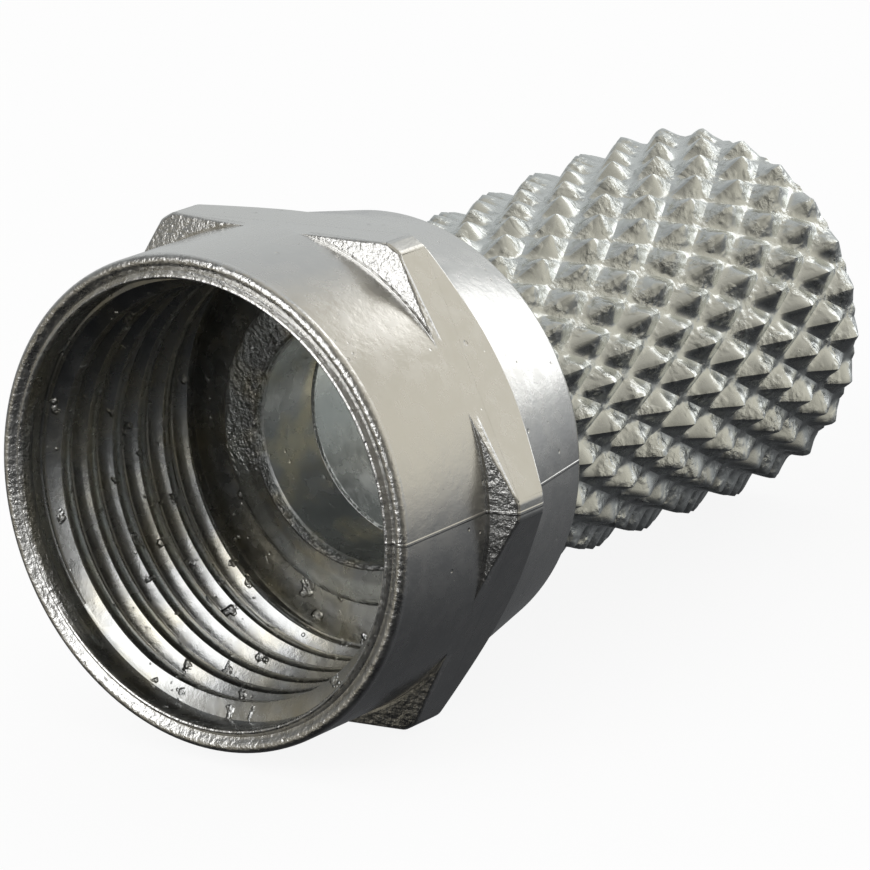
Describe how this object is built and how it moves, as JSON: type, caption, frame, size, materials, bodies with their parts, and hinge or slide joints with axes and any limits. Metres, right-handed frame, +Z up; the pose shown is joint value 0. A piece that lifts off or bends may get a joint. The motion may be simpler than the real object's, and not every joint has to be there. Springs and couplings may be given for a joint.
{
  "type": "f connector",
  "caption": "Screw-on coaxial cable plug lying on its side, with a hexagonal coupling nut that turns on the neck of a diamond-knurled sleeve.",
  "frame": {"origin": "on the surface the plug lies on, under the middle of its length", "axes": "+X towards the cable end, +Z up; the plug's own axis lies in the XZ plane and falls by 3.56 degrees towards the cable end, as it comes to rest"},
  "size_m": [0.0198, 0.012, 0.0109],
  "materials": {
    "nut_nickel": "satin nickel plate over die-cast zinc",
    "sleeve_nickel": "satin nickel plate over die-cast zinc"
  },
  "bodies": {
    "sleeve": {"knurled_sleeve": "sleeve_nickel"},
    "nut": {"coupling_nut": "nut_nickel"}
  },
  "joints": [
    {"name": "nut_spin", "type": "hinge", "parent": "sleeve", "child": "nut", "pos_m": [-0.00311, 0, 0.00522], "axis": [0.9981, 0, -0.0622], "continuous": true}
  ]
}
